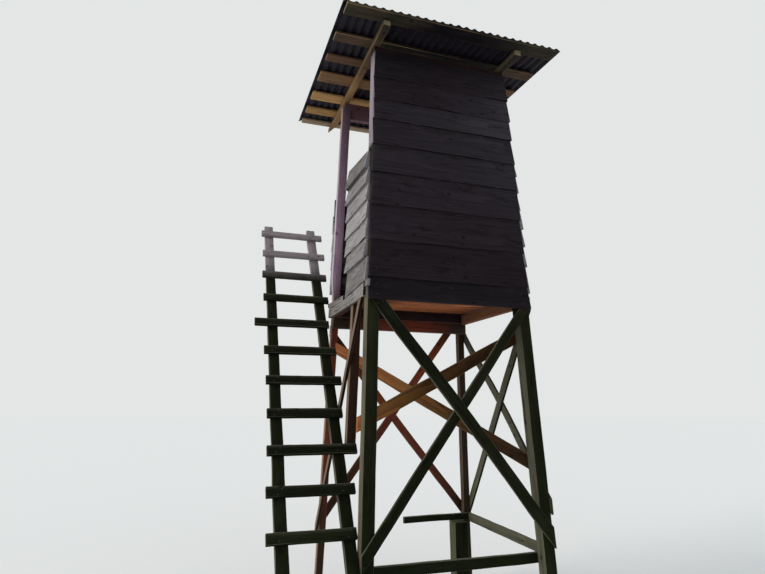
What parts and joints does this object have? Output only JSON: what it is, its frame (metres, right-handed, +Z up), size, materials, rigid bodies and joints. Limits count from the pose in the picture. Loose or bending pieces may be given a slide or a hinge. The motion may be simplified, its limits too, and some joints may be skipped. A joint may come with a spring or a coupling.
{
  "type": "hunting high seat",
  "caption": "Raised wooden hunting cabin on splayed, cross-braced legs with a side ladder, closed back wall, open windows and a corrugated lean-to roof.",
  "frame": {"origin": "on the ground, at the middle of the bounding box's bottom", "axes": "+Z up, +X to the right along the closed back wall, +Y from the back wall to the open front"},
  "size_m": [2.4508, 2.54, 4.9615],
  "materials": {
    "weathered_timber": "bare timber, weathered grey-green, matt",
    "stained_timber": "red-brown stained timber, matt",
    "fresh_board": "newer sawn board, orange-brown, matt",
    "dark_boards": "dark brown stain on sawn boards, matt",
    "grey_boards": "bare boards weathered to silver grey, matt",
    "roof_timber": "pale tan sawn timber, matt",
    "roof_sheet": "dark coated corrugated sheet, matt"
  },
  "bodies": {
    "root": {"back_left_leg": "weathered_timber", "back_right_leg": "weathered_timber", "back_low_rail": "weathered_timber", "right_low_rail": "weathered_timber", "front_low_rail": "weathered_timber", "front_right_foot_post": "weathered_timber", "left_ladder_rail": "weathered_timber", "right_ladder_rail": "weathered_timber", "ladder_rungs": "weathered_timber", "back_brace_rising": "weathered_timber", "back_brace_falling": "weathered_timber", "right_brace_rising": "weathered_timber", "right_brace_falling": "weathered_timber", "corner_block": "weathered_timber", "front_left_leg": "stained_timber", "front_right_leg": "stained_timber", "front_header": "stained_timber", "front_rim": "stained_timber", "back_rim": "stained_timber", "left_rim": "stained_timber", "right_rim": "stained_timber", "ladder_strut": "stained_timber", "front_brace_rising": "stained_timber", "front_brace_falling": "stained_timber", "left_brace": "stained_timber", "front_plate": "stained_timber", "back_plate": "stained_timber", "inner_brace": "fresh_board", "tower_brace": "fresh_board", "floor": "fresh_board", "left_parapet_stud": "fresh_board", "back_wall": "dark_boards", "left_parapet": "grey_boards", "front_parapet": "grey_boards", "right_parapet": "grey_boards", "left_rim_board": "grey_boards", "step_board": "grey_boards", "left_rafter": "roof_timber", "right_rafter": "roof_timber", "roof_battens": "roof_timber", "left_roof_sheet": "roof_sheet", "right_roof_sheet": "roof_sheet"}
  },
  "joints": []
}
